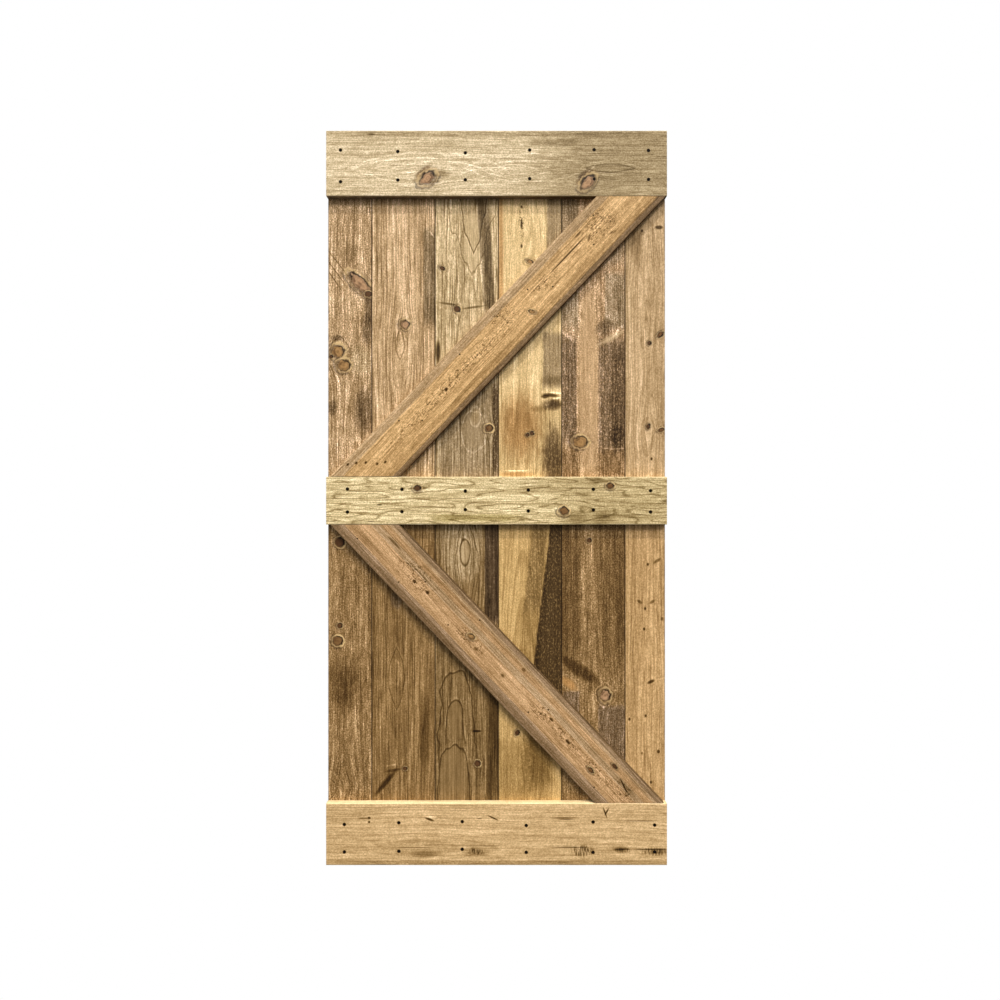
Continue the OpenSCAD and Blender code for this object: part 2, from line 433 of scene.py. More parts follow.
def group(build, inputs, outputs):
    """A node group whose body is worked out by build from its named inputs."""
    tree = bpy.data.node_groups.new(build.__name__, "ShaderNodeTree")
    for side, names in (("INPUT", inputs), ("OUTPUT", outputs)):
        for name in names.split():
            kind = "NodeSocketColor" if name.startswith("colour") else "NodeSocketFloat"
            tree.interface.new_socket(name, in_out=side, socket_type=kind)
    start, end = tree.nodes.new("NodeGroupInput"), tree.nodes.new("NodeGroupOutput")
    feed(end, *build(*(Field(tree, socket) for socket in list(start.outputs)[:-1])))
    return tree


def use(tree, shared, *values):
    """The outputs of a node group that is fed those values."""
    node = tree.nodes.new("ShaderNodeGroup")
    node.node_tree = shared
    feed(node, *values)
    return [Field(tree, socket) for socket in node.outputs]


# ---------------------------- knots and stains


def turned(u, v, at_u, at_v, length, width, turn):
    """Distances along and across a turned spot, in shares of its half length and width."""
    du, dv = u - at_u, v - at_v
    c, s = turn.math("COSINE"), turn.math("SINE")
    return (du * c + dv * s) / length, (dv * c - du * s) / width


KNOT_TANNED = tone(104, 70, 38)
KNOT_HALO = tone(236, 202, 144)
KNOT_SWIRL = tone(64, 40, 21)
KNOT_WHISKER = tone(50, 31, 16)
KNOT_PIT = tone(76, 46, 24)
KNOT_BARK = tone(28, 17, 8)
DYE_LOSS = (0.95, 1.08, 1.4)  # how strongly a stain takes red, green and blue away


def grain_flow(u, field, lift, at_u, at_v, length, width, rise):
    """Parts the grain round a knot, and lifts its rings so that they close round it."""
    near = (u - at_u).peak(0.0, length * 2.6)
    off = field - at_v
    bent = off * (1.0 - near * 0.9 * off.peak(0.0, width * 1.7))
    hill = (u - at_u).peak(0.0, length * 2.2) * off.peak(0.0, width * 2.2)
    return [bent + at_v, lift + hill * rise]


def knot_paint(colour, height, u, v, lumps, at_u, at_v, length, width, turn, colour_core,
               dark, pale):
    """Draws a knot: a ringed core, bark along part of its edge and swirled grain beyond."""
    a, b = turned(u, v, at_u, at_v, length, width, turn)
    line = (width.math("POWER", -1.0) * 2.2).math("MAXIMUM", 0.18)
    d = (a * a + b * b).math("SQRT") + (lumps - 0.5) * (line * 3.0 + 0.3)
    core = d.step(1.05, 0.85)
    side = (a * 0.6 + b + (lumps - 0.5) * 2.0).step(-0.6, 0.8) * 0.65 + 0.35
    far_side = (a * 0.6 + b).step(0.5, -0.6)
    swirl = (d * 12.0 + a * 1.5).math("SINE") * 0.5 + 0.5
    beyond = d.step(2.3, 1.1) * (1.0 - core)
    whisker = (a + (lumps - 0.5) * 2.5).peak(0.0, 0.2) * b.math("ABSOLUTE").step(3.2, 0.8)
    colour = mix(beyond * 0.45 * dark, colour, KNOT_TANNED)
    colour = mix(d.peak(1.42, 0.2) * pale * (1.0 - far_side * 0.5), colour, KNOT_HALO)
    colour = mix(beyond * (1.0 - swirl) * dark * 0.6 * far_side, colour, KNOT_SWIRL)
    colour = mix(whisker * 0.5 * dark, colour, KNOT_WHISKER)
    colour = mix(core, colour, colour_core)
    pit = (a * 0.5 - b + (lumps - 0.5) * 4.0).step(-0.2, 0.9)
    colour = mix(core * (swirl * 0.35 + pit * 0.5) * dark, colour, KNOT_PIT)
    bark = (d.peak(1.0, line) * side + d.peak(1.75, 0.14) * far_side * 0.5) * dark
    colour = mix(bark.math("MINIMUM", 1.0), colour, KNOT_BARK)
    return [colour, height + core * 0.3 - bark * 0.6]


def blot(u, v, ragged, speck, at_u, at_v, length, width, turn, square, soft, gaps):
    """Masks a patch of stain, round or square, ragged at its edge and open where it is flecked."""
    a, b = turned(u, v, at_u, at_v, length, width, turn)
    round_off = (a * a + b * b).math("SQRT")
    box_off = a.math("ABSOLUTE").math("MAXIMUM", b.math("ABSOLUTE"))
    d = round_off + (box_off - round_off) * square + (ragged - 0.5) * (soft * 1.4 + 0.15)
    return [d.step(1.0 + soft, 1.0 - soft) * (1.0 - speck * gaps)]


def loop(u, v, bend, at_u, at_v, length, width, turn, point, arch, thin):
    """Draws a closed grain line, round or pointed at its ends, with a paler line outside it.

    An arch has one round end and runs on the other way as two lines, a little apart.
    """
    a, b = turned(u, v, at_u, at_v, length, width, turn)
    tail = a.math("MINIMUM", 0.0) * arch
    end = tail.step(-2.6, -1.9)
    a, b = a - tail, b / (tail * -0.1 + 1.0)
    round_off = (a * a + b * b).math("SQRT")
    d = round_off + (b.math("ABSOLUTE") + a * a - round_off) * point + (bend - 0.5) * 0.5
    return [(d.peak(1.0, thin) - d.peak(1.0 + thin * 2.2, thin) * 0.2) * end]


def dye(colour, depth):
    """Stain that soaks in by that depth: blue goes first, then green, then red."""
    tree = colour.tree
    split = tree.nodes.new("ShaderNodeSeparateColor")
    join = tree.nodes.new("ShaderNodeCombineColor")
    feed(split, colour)
    kept = [(depth * -loss).math("EXPONENT") for loss in DYE_LOSS]
    feed(join, *(Field(tree, socket) * share for socket, share in zip(split.outputs, kept)))
    return [Field(tree, join.outputs[0])]


GRAIN_FLOW = group(grain_flow, "u field lift at_u at_v length width rise", "field lift")
KNOT_PAINT = group(knot_paint, "colour height u v lumps at_u at_v length width turn colour_core"
                   " dark pale", "colour height")
BLOT = group(blot, "u v ragged speck at_u at_v length width turn square soft gaps", "mask")
LOOP = group(loop, "u v bend at_u at_v length width turn point arch thin", "mask")
DYE = group(dye, "colour depth", "colour")

# A knot's core colour, how dark its bark is and how pale the ring outside it.
KNOTS = {
    "pink": (tone(184, 144, 106), 0.95, 0.45),
    "tan": (tone(170, 130, 80), 0.95, 0.6),
    "brown": (tone(120, 84, 48), 1.0, 0.7),
    "black": (tone(92, 62, 36), 1.0, 0.6),
    "ringed": (tone(126, 92, 54), 1.0, 0.8),
    "pin": (tone(92, 62, 34), 1.0, 0.5),
}
# Whether a stain is square, how soft its edge is, its gaps, its depth, and its tint if it has one.
# Calm places have no stain of their own: the grain shows less there.
STAINS = {
    "soot": (0.0, 0.5, 0.6, 1.1, tone(190, 162, 134)),
    "smoke": (0.0, 0.7, 0.2, 0.6, None),
    "haze": (1.0, 0.4, 0.3, 0.7, None),
    "shade": (1.0, 0.6, 0.1, 0.35, None),
    "char": (1.0, 0.1, 0.35, 1.9, tone(190, 166, 152)),
    "stripe": (1.0, 0.15, 0.75, 1.15, tone(192, 166, 144)),
    "band": (1.0, 0.25, 0.5, 0.45, None),
    "grey": (1.0, 0.15, 0.4, 0.6, tone(196, 172, 142)),
    "dusty": (1.0, 0.15, 0.3, 0.22, tone(190, 160, 124)),
    "mauve": (1.0, 0.12, 0.3, 0.4, tone(184, 156, 130)),
    "rust": (0.0, 0.6, 0.2, 0.15, tone(200, 150, 92)),
    "blush": (1.0, 0.2, 0.2, 0.0, tone(187, 152, 110)),
    "ash": (0.0, 0.5, 0.3, 0.0, tone(190, 162, 122)),
    "glow": (1.0, 0.5, 0.2, -0.25, None),
    "pale": (0.0, 0.35, 0.0, -0.6, None),
    "olive": (1.0, 0.35, 0.3, 0.2, tone(190, 170, 110)),
    "mark": (0.0, 0.5, 0.1, 2.2, None),
    "line": (0.0, 0.5, 0.3, 1.2, None),
    "scar": (0.0, 0.4, 0.2, 0.9, None),
    "calm": (0.0, 0.2, 0.0, 0.0, None),
    "dim": (0.0, 0.3, 0.2, 0.0, tone(168, 142, 104)),
    "burnt": (1.0, 0.06, 0.55, 2.3, tone(186, 162, 136)),
    "flecked": (1.0, 0.2, 0.8, 0.55, tone(196, 164, 116)),
}
CALM = 0.55  # how much less the grain shows in a calm place
# How pointed a loop's ends are, whether it is an arch, and how strongly its line is stained.
LOOPS = {"round": (0.0, 0.0, 1.2), "eye": (1.0, 0.0, 0.8), "crack": (1.0, 0.0, 1.4),
         "arch": (0.0, 1.0, 1.2), "pale_eye": (1.0, 0.0, -0.28), "pale": (0.0, 0.0, -0.45)}

# How each board looks. upper and lower are its colours above and below its middle. contrast,
# mottle and hair say how strongly its fibres, its flecks and its finest lines show. rings gives
# the pith's place across and depth, its tilt and rise along the grain, and the rings' pitch and
# strength. figure, which some boards have, is the strength of their wavy contours. Each knot,
# stain and loop has its place along and across from the board's middle, half its length, half
# its width, its turn in degrees and its kind. Swirls have how far the rings rise in place of the
# turn and kind, and scribbles and combs have neither. A board leaves out what it has none of.
LOOKS = {
    "plank_1": dict(
        upper=(189, 156, 116), lower=(149, 117, 76), contrast=1.15, mottle=1.7, hair=0.5,
        figure=0.3, rings=(15, 40, 0.01, 0.035, 8, 0.5),
        knots=[
            (630, 30, 40, 15, -45, "pink"), (600, 54, 7, 10, 0, "black"), (430, -35, 18, 17, 0, "tan"),
            (390, -18, 15, 17, 0, "tan"), (415, -55, 5, 5, 0, "black"), (-130, -30, 13, 12, 0, "black"),
            (-420, -35, 13, 13, 0, "ringed"), (-375, -30, 7, 7, 0, "pin")],
        stains=[
            (715, 0, 28, 22, 0, "smoke"), (560, 55, 50, 10, 0, "soot"), (495, 50, 40, 14, 0, "soot"),
            (470, -35, 8, 16, 0, "soot"), (405, 30, 40, 32, 0, "ash"), (255, 42, 60, 26, 0, "soot"),
            (265, -52, 20, 12, 0, "soot"), (-545, -15, 70, 40, 0, "smoke"),
            (-560, -10, 50, 28, 0, "shade"), (100, 20, 60, 50, 0, "glow"),
            (690, -35, 60, 1.5, -38, "line"), (670, -45, 55, 1.5, -36, "line"),
            (650, -52, 45, 1.5, -34, "line")],
        loops=[
            (-860, -60, 55, 34, 0, "pale"), (-855, -60, 32, 20, 0, "eye"), (415, -30, 60, 36, 0, "eye")],
        swirls=[(-850, -25, 22, 24, 14)]),
    "plank_2": dict(
        upper=(189, 156, 115), lower=(136, 105, 64), contrast=1.05, mottle=0.9, hair=0.8,
        rings=(-10, 55, 0.0, -0.04, 8, 0.35),
        knots=[(510, 5, 12, 12, 0, "pink"), (-795, 5, 5, 6, 0, "pin")],
        stains=[
            (795, -35, 130, 20, 0, "glow"), (650, 80, 135, 20, 0, "grey"), (640, 76, 135, 20, 0, "band"),
            (775, 84, 12, 2, -35, "pale"), (530, 82, 45, 12, 0, "smoke"), (-300, -22, 22, 14, 0, "soot"),
            (-680, 62, 95, 15, 0, "haze"), (-835, -52, 46, 8, 40, "scar"), (-840, -55, 40, 5, 40, "scar"),
            (-800, -30, 4, 20, -10, "line"), (-785, -35, 2.5, 18, -10, "pale")],
        loops=[
            (450, -10, 45, 13, 0, "eye"), (-515, -20, 35, 8, 0, "pale"), (-530, -20, 90, 24, 0, "eye")],
        swirls=[(405, -10, 60, 22, 16)]),
    "plank_3": dict(
        upper=(200, 173, 131), lower=(133, 105, 66), contrast=0.85, mottle=0.8, hair=0.9,
        figure=0.3, rings=(5, 50, 0.0, 0.03, 9, 0.45),
        knots=[
            (675, -72, 5, 8, 30, "pin"), (555, -28, 8, 9, 40, "black"), (205, 65, 10, 11, 0, "ringed"),
            (-780, 32, 8, 8, 0, "black")],
        stains=[
            (760, 18, 90, 26, 0, "calm"), (-650, -34, 60, 20, 0, "calm"), (-820, -39, 95, 40, 0, "calm"),
            (-160, -5, 35, 15, 0, "calm"), (200, 20, 55, 32, 0, "calm"), (715, 57, 165, 17, -4, "grey"),
            (700, 60, 155, 14, -4, "haze"), (660, 64, 110, 12, -4, "shade"), (570, -52, 3, 28, 8, "line"),
            (560, 18, 3, 30, -8, "line"), (430, -84, 28, 6, 0, "mark"), (170, 10, 150, 90, 0, "grey"),
            (205, 86, 130, 10, 0, "stripe"), (240, 25, 22, 12, 0, "ash"), (-215, 74, 145, 20, 0, "char"),
            (-130, -15, 110, 60, 0, "dim"), (-155, -5, 35, 12, 0, "ash"), (-685, 30, 3, 12, 0, "mark"),
            (-720, 76, 170, 20, 0, "haze"), (-640, 84, 130, 12, 0, "haze")],
        loops=[
            (950, 20, 240, 45, 0, "crack"), (950, 15, 300, 75, 0, "eye"), (240, 25, 28, 16, 0, "pale"),
            (195, 20, 60, 36, 0, "pale"), (-160, -5, 35, 15, 0, "round"), (-210, 0, 140, 36, 0, "eye"),
            (-635, -34, 40, 22, 0, "arch"), (-580, -31, 70, 44, 0, "arch"),
            (-800, -39, 70, 43, 0, "arch")],
        swirls=[(-170, -4, 48, 24, 14)]),
    "plank_4": dict(
        upper=(228, 196, 143), lower=(197, 161, 105), contrast=0.5, mottle=0.7, hair=0.3,
        rings=(-20, 60, 0.0, 0.025, 8, 0.3),
        knots=[
            (695, 0, 5, 9, 20, "tan"), (190, 5, 6, 6, 0, "pin"), (185, -8, 5, 5, 0, "pin"),
            (-690, -38, 8, 6, 30, "black")],
        stains=[
            (700, -86, 260, 7, 0, "rust"), (800, 72, 110, 22, 0, "grey"), (855, -25, 4, 3, 0, "mark"),
            (805, -25, 12, 3, 0, "mark"), (740, -25, 5, 3, 0, "mark"), (405, 66, 80, 28, 0, "grey"),
            (344, 64, 14, 26, 0, "smoke"), (298, 44, 5, 10, 0, "mark"), (309, 74, 2, 18, 6, "pale"),
            (302, 60, 4.5, 20, 6, "mark"), (293, 78, 2, 14, -8, "pale"), (274, 64, 14, 26, 0, "soot"),
            (276, 74, 12, 18, 0, "scar"), (262, 32, 8, 22, 0, "smoke"), (115, 68, 90, 28, 0, "soot"),
            (90, 72, 70, 24, 0, "smoke"), (210, -30, 90, 60, 0, "rust"), (180, 0, 90, 90, 0, "shade"),
            (70, -40, 6, 42, 0, "rust"), (80, -40, 2, 36, 0, "pale"), (-335, 76, 265, 46, 7, "burnt"),
            (-200, 18, 130, 22, 6, "flecked"), (-335, 10, 265, 30, 5, "band"),
            (-750, 25, 90, 40, 0, "haze"), (-800, -20, 90, 75, 0, "band")],
        scribbles=[(800, -25, 50, 7)],
        swirls=[(700, 0, 60, 26, 14), (-640, -10, 120, 30, 22)]),
    "plank_5": dict(
        upper=(186, 150, 110), lower=(139, 108, 68), contrast=1.0, mottle=1.7, hair=0.4,
        rings=(-15, 45, 0.0, -0.03, 8, 0.3),
        knots=[
            (165, -38, 15, 19, 0, "tan"), (-125, -12, 6, 6, 0, "pin"), (-580, 35, 16, 14, 0, "pink")],
        stains=[
            (320, -14, 280, 28, 0, "calm"), (320, -16, 280, 30, 0, "blush"), (780, 0, 90, 90, 0, "dusty"),
            (320, -72, 150, 22, 0, "stripe"), (305, 55, 160, 38, 0, "stripe"),
            (300, 74, 150, 20, 0, "haze"), (580, 65, 80, 30, 0, "grey"), (700, -70, 200, 25, 0, "grey"),
            (105, 55, 40, 38, 0, "haze"), (100, -70, 45, 22, 0, "haze"), (475, -74, 22, 5, -55, "pale"),
            (470, 52, 44, 9, 62, "calm"), (470, 52, 42, 8, 62, "ash"), (470, 52, 42, 3, 62, "glow"),
            (495, 76, 24, 4, 40, "pale"), (145, 60, 3, 32, 0, "pale"), (500, 36, 26, 20, 60, "soot"),
            (180, 70, 35, 20, 0, "soot"), (-180, -12, 120, 20, 0, "glow"),
            (-260, -68, 200, 26, 0, "haze"), (-280, 56, 220, 38, 0, "band"),
            (-290, 82, 160, 12, 0, "shade"), (-505, -40, 60, 17, -56, "scar"),
            (-510, -40, 58, 14, -56, "smoke"), (-545, -72, 28, 14, -50, "calm"),
            (-545, -72, 24, 11, -50, "rust"), (-600, -65, 30, 22, 0, "stripe"),
            (-610, -8, 45, 14, 0, "glow"), (-690, 55, 75, 38, 0, "stripe")],
        loops=[(-545, -72, 32, 18, -50, "pale"), (-580, 35, 34, 28, 0, "pale")],
        swirls=[(-620, 0, 60, 24, 18)]),
    "plank_6": dict(
        upper=(193, 161, 120), lower=(191, 154, 106), contrast=0.65, mottle=0.7, hair=0.4,
        rings=(5, 50, 0.0, 0.035, 7, 0.3),
        knots=[
            (480, 45, 10, 6, 50, "brown"), (455, 12, 6, 5, 30, "pin"), (210, 9, 7, 5, 20, "pin"),
            (200, 47, 5, 9, -20, "brown")],
        stains=[
            (755, -28, 50, 16, 0, "smoke"), (795, 41, 5, 10, 0, "mark"), (785, -9, 4, 3, 0, "mark"),
            (115, 19, 4, 3, 0, "mark"), (-185, 35, 4, 12, -35, "line"), (-195, 8, 4, 3, 0, "mark"),
            (-305, -16, 4, 8, 35, "line"), (-305, 21, 4, 8, -35, "line"), (-355, 50, 5, 4, 0, "line"),
            (-325, 0, 4, 3, 0, "mark"), (-385, -3, 4, 3, 0, "mark"), (-540, 17, 4, 10, -25, "mark"),
            (-640, 2, 4, 3, 0, "mark"), (-650, -46, 4, 3, 0, "mark"), (-745, 39, 5, 4, 0, "mark"),
            (-750, -9, 4, 3, 0, "line"), (-835, 17, 4, 3, 0, "mark")],
        swirls=[(580, 10, 50, 18, 10), (205, 10, 30, 16, 8)]),
    "top_rail": dict(
        upper=(204, 182, 145), contrast=0.45, mottle=0.8, hair=0.45,
        rings=(-15, 40, 0.0, 0.03, 9, -0.15),
        knots=[(-200, -43, 23, 15, 35, "pink"), (265, -55, 23, 14, 45, "pink")],
        stains=[
            (350, 0, 230, 110, 0, "shade"), (380, 0, 180, 110, 0, "shade"),
            (-215, -26, 25, 9, 40, "soot"), (-160, -32, 22, 12, 0, "smoke"),
            (255, -36, 24, 10, 45, "soot"), (270, -22, 24, 2, 45, "pale"), (-365, 84, 10, 3, 0, "line"),
            (0, 86, 420, 8, 0, "band"), (160, 60, 60, 8, 0, "band")],
        loops=[
            (-230, -14, 190, 30, 0, "pale_eye"), (-170, -14, 125, 20, 0, "pale_eye"),
            (-240, -14, 120, 12, 0, "pale_eye"), (60, -18, 105, 26, 0, "pale_eye"),
            (50, -18, 70, 14, 0, "pale_eye"), (330, -14, 70, 12, 0, "eye"),
            (330, -14, 90, 20, 0, "pale_eye"), (-200, -14, 230, 45, 0, "pale_eye"),
            (90, -14, 190, 40, 0, "pale_eye")]),
    "middle_rail": dict(
        upper=(220, 198, 152), contrast=0.6, mottle=0.9, hair=0.4, figure=0.8,
        rings=(10, 45, 0.0, -0.03, 7, 0.3),
        knots=[
            (-230, 36, 10, 8, 0, "black"), (330, 43, 10, 8, 0, "brown"), (195, -30, 13, 11, 0, "ringed")],
        stains=[
            (340, 0, 190, 80, 0, "shade"), (-340, -12, 7, 2, 0, "mark"), (-230, 36, 24, 2, 0, "mark"),
            (230, -52, 26, 22, 0, "smoke"), (310, -50, 27, 24, 0, "smoke"),
            (-60, -50, 120, 10, 0, "olive"), (-365, -60, 9, 1, 0, "mark")]),
    "bottom_rail": dict(
        upper=(200, 167, 121), contrast=0.35, mottle=0.65, hair=0.3,
        rings=(-40, 70, 0.0, 0.02, 7, 0.2),
        stains=[
            (-370, 48, 4, 3, 0, "mark"), (-370, 36, 3, 3, 0, "mark"), (-385, 47, 14, 2, 0, "line"),
            (-195, 44, 12, 3, -20, "mark"), (-190, 50, 16, 3, 0, "pale"), (-50, 46, 6, 1, 0, "mark"),
            (-10, 48, 14, 2, -25, "mark"), (195, 48, 33, 2, 0, "line"), (205, 44, 20, 1, 0, "mark"),
            (315, 63, 14, 2, -70, "mark"), (320, 66, 10, 2, 60, "mark"), (415, 39, 46, 1, 0, "mark"),
            (360, -44, 16, 8, 0, "smoke"), (465, -48, 24, 9, 0, "smoke"), (210, -37, 48, 1.2, 0, "mark"),
            (365, -43, 22, 2, 0, "mark"), (445, -43, 48, 1.5, 0, "mark"), (-235, -38, 52, 1, 0, "line"),
            (-55, -33, 65, 1, 0, "line"), (-210, -54, 35, 10, 0, "smoke"), (-60, -52, 30, 12, 0, "smoke"),
            (0, -82, 480, 6, 0, "band")],
        combs=[(250, -47, 26, 14), (365, -46, 18, 6), (460, -50, 34, 9), (-60, -50, 20, 8)]),
    "upper_brace": dict(
        upper=(196, 157, 106), contrast=0.6, mottle=0.8, hair=0.4,
        rings=(-5, 45, 0.0, 0.025, 8, 0.15),
        knots=[(120, -22, 5, 9, 30, "tan")],
        stains=[
            (0, 60, 900, 14, 0, "dusty"), (0, -42, 900, 8, 0, "shade"), (0, 15, 900, 9, 0, "glow"),
            (0, -64, 900, 10, 0, "haze"), (0, -66, 900, 8, 0, "mauve"), (310, 16, 66, 2.2, 0, "mark"),
            (-215, 3, 5, 4, 0, "mark"), (375, 35, 12, 3, 0, "line"), (390, 5, 10, 3, 30, "line"),
            (450, -34, 10, 3, -20, "line"), (-570, 60, 4, 3, 0, "mark"), (-550, 45, 4, 3, 0, "mark"),
            (-530, 26, 4, 3, 0, "mark"), (-510, -1, 4, 3, 0, "mark"), (-490, -14, 4, 3, 0, "mark")],
        scribbles=[(440, 10, 55, 35), (210, 10, 40, 14), (55, 30, 35, 24), (-200, 5, 240, 18)]),
    "lower_brace": dict(
        upper=(173, 136, 94), contrast=0.6, mottle=0.8, hair=0.5,
        rings=(5, 45, 0.0, -0.025, 8, 0.15),
        knots=[
            (-110, 0, 10, 7, 20, "tan"), (410, -16, 10, 5, 0, "brown"), (450, 42, 9, 4, 0, "pin")],
        stains=[
            (0, -58, 900, 15, 0, "mauve"), (0, -64, 900, 10, 0, "band"), (0, -8, 900, 20, 0, "glow"),
            (0, 22, 900, 10, 0, "dusty"), (0, 62, 900, 12, 0, "dusty"), (0, 66, 900, 8, 0, "mauve"),
            # The first line here, along the whole upper edge of the brace, is a painted shadow line at
            # its gap.
            (0, 72, 900, 1.2, 0, "line"), (-460, 26, 25, 3, 0, "line"), (-340, -9, 5, 4, 0, "mark"),
            (-290, -3, 5, 4, 0, "mark"), (-75, -15, 6, 4, 0, "line"), (35, -12, 6, 4, 0, "line"),
            (65, 44, 6, 4, 0, "line"), (225, 3, 7, 3, 0, "mark"), (305, -7, 8, 3, 0, "mark"),
            (510, 22, 22, 2, -18, "mark")],
        scribbles=[
            (-350, 5, 60, 30), (-110, -10, 50, 16), (190, -5, 35, 18), (295, -5, 55, 14),
            (425, -5, 50, 16), (520, 10, 35, 22)]),
}
KNOT_RISE = 0.8  # how far the rings rise round a knot, in its half widths
LOOP_LINE = 1.6  # half the width of a loop's line, in millimetres
FLECK_STAIN = 1.9  # how strongly scribbles and combs are stained
HEAD_PAINTED_SHADE_AND_DIRT = 2.0  # how strongly painted shade, with some dirt, darkens the wood round a fastener's head
FIRST_SEED, SEED_STEP = 2.0, 7.3  # where the boards' noises lie, so that no two are alike

JOINT_SHADE = tone(40, 26, 14)
# Painted shade on the lower sides of rails and braces.
LOWER_SIDE_PAINTED_SHADE = tone(60, 38, 14)
# Painted highlight on the upper sides of rails.
UPPER_SIDE_PAINTED_HIGHLIGHT = tone(255, 238, 190)
# Painted highlight along the rounded front edges of rails.
EDGE_PAINTED_HIGHLIGHT = tone(255, 234, 188)

# How high the bumps are, and how much the surfaces mirror.
WOOD_RELIEF = 0.35 * MM
METAL_RELIEF = 0.05 * MM
WOOD_SHINE = 0.15
METAL_SHINE = 0.1


# ---------------------------- materials


def empty_tree(owner):
    """The cleared node tree of a material or a world."""
    owner.use_nodes = True
    owner.node_tree.nodes.clear()
    return owner.node_tree


def new_material(name):
    """An empty material with its shader: returns the material, its tree and the shader."""
    material = bpy.data.materials.new(name)
    tree = empty_tree(material)
    shader = tree.nodes.new("ShaderNodeBsdfPrincipled")
    output = tree.nodes.new("ShaderNodeOutputMaterial")
    tree.links.new(shader.outputs[0], output.inputs["Surface"])
    return material, tree, shader


def finish_shader(tree, shader, colour, rough, height, relief):
    """Wires up colour, roughness and bump; relief is the bump's height in metres."""
    bump = tree.nodes.new("ShaderNodeBump")
    bump.inputs["Strength"].default_value = 1.0
    bump.inputs["Distance"].default_value = relief
    tree.links.new(height.socket, bump.inputs["Height"])
    tree.links.new(bump.outputs[0], shader.inputs["Normal"])
    tree.links.new(colour.socket, shader.inputs["Base Color"])
    tree.links.new(rough.socket, shader.inputs["Roughness"])


def distances(tree, origin, axes):
    """How far the surface lies from the origin along each axis, in millimetres."""
    place = tree.nodes.new("ShaderNodeTexCoord").outputs["Object"]
    for axis in axes:
        dot = tree.nodes.new("ShaderNodeVectorMath")
        dot.operation = "DOT_PRODUCT"
        tree.links.new(place, dot.inputs[0])
        dot.inputs[1].default_value = Vector(axis) / MM
        yield Field(tree, dot.outputs["Value"]) - origin.dot(axis) / MM


def spots(look, kind):
    """A board's knots, stains or loops, with their turns in radians."""
    return [(*spot[:4], math.radians(spot[4]), spot[5]) for spot in look.get(kind, [])]


def grain_lines(u, v, w, look):
    """The growth rings' lines, and the place across the grain as it flows round the knots."""
    pith, depth, tilt, rise, pitch, _ = look["rings"]
    seed = look["seed"]
    hills = [(*knot[:4], knot[3] * KNOT_RISE) for knot in look.get("knots", [])]
    hills += look.get("swirls", [])
    field, lift = v, u * 0.0
    for at_u, at_v, length, width, high in hills:
        field, lift = use(u.tree, GRAIN_FLOW, u, field, lift, at_u, at_v, length, width, high)
    field = field + (noise(u / 400, v / 90, w / 90 + seed) - 0.5) * 16
    across = field - (u * tilt + pith)
    below = (noise(u / 420, w / 150, w * 0.0 + seed) - 0.5) * 28 + u * rise + depth - w - lift
    radius = (across * across + below * below).math("SQRT")
    radius = radius + (noise(radius / 15, u / 900, w / 90 + seed) - 0.5) * pitch * 2.6
    year = (radius / pitch).math("FRACT")
    bold = noise(radius / 13, u / 500, w / 90 - seed).step(0.3, 0.65)
    return field, year.step(0.45, 0.9) * year.step(1.0, 0.95) * (bold * 0.7 + 0.3)


def edged(board, colour, v, w):
    """Planks are dark in their joints; rails and braces get painted shade on their lower side.

    Rails also get a painted highlight along both front edges, and are painted palest on their upper side.
    """
    half = board.width / MM / 2
    off = v.math("ABSOLUTE")
    if board.slot == "planks":
        return mix(off.step(half - 1.9, half - 0.4) * w.step(-6, -3) * 0.9, colour, JOINT_SHADE)
    # Painted shade on the lower side face of rails and braces, which faces away from the lamps.
    below = v.step(0.6 - half, 0.1 - half) * w.step(-1.0, -3.0)
    # Painted highlight on the upper side face of rails, which faces the lamps.
    above = v.step(half - 0.6, half - 0.1) * w.step(-1.0, -3.0)
    colour = mix(below * 0.75, colour, LOWER_SIDE_PAINTED_SHADE)
    if board.slot == "braces":
        return colour
    colour = mix(above * 0.35, colour, UPPER_SIDE_PAINTED_HIGHLIGHT)
    # Painted highlight along both front edges of rails, where the rounded edges catch the light.
    return mix(off.peak(half, 1.8) * w.peak(0.0, 2.2) * 0.5, colour, EDGE_PAINTED_HIGHLIGHT)


def soaked(look, u, v, base, depth, ragged, grit, speck):
    """Adds a board's stains: returns its tinted colour and how deep the stain is."""
    for at_u, at_v, length, width, turn, kind in spots(look, "stains"):
        square, soft, gaps, strength, tint = STAINS[kind]
        edge = grit if min(length, width) < 8 else ragged
        mask, = use(u.tree, BLOT, u, v, edge, speck, at_u, at_v, length, width, turn, square,
                    soft, gaps)
        depth = depth * (1.0 - mask * CALM) if kind == "calm" else depth + mask * strength
        if tint:
            base = mix(mask * 0.8, base, tint)
    return base, depth


def drawn(look, u, v, w, ragged, depth):
    """Adds a board's loops of grain, its scribbled patches and its combs of short cross cuts."""
    bend = noise(u / 50, v / 28, w / 28 + look["seed"], 1.0)
    for at_u, at_v, length, width, turn, kind in spots(look, "loops"):
        point, arch, strength = LOOPS[kind]
        line, = use(u.tree, LOOP, u, v, bend, at_u, at_v, length, width, turn, point, arch,
                    LOOP_LINE / width)
        depth = depth + line * strength
    curls = noise(u / 8, v / 6, w / 8, 1.0).peak(0.5, 0.04)
    curls = curls * noise(u / 15, v / 9, w / 9).step(0.42, 0.56)
    teeth = noise(u / 3.0, v / 26, w / 26, 1.0).step(0.46, 0.56)
    for kind, flecks in (("scribbles", curls), ("combs", teeth)):
        for at_u, at_v, length, width in look.get(kind, []):
            mask, = use(u.tree, BLOT, u, v, ragged, ragged, at_u, at_v, length, width, 0, 0, 0.6, 0)
            depth = depth + mask * flecks * FLECK_STAIN
    return depth


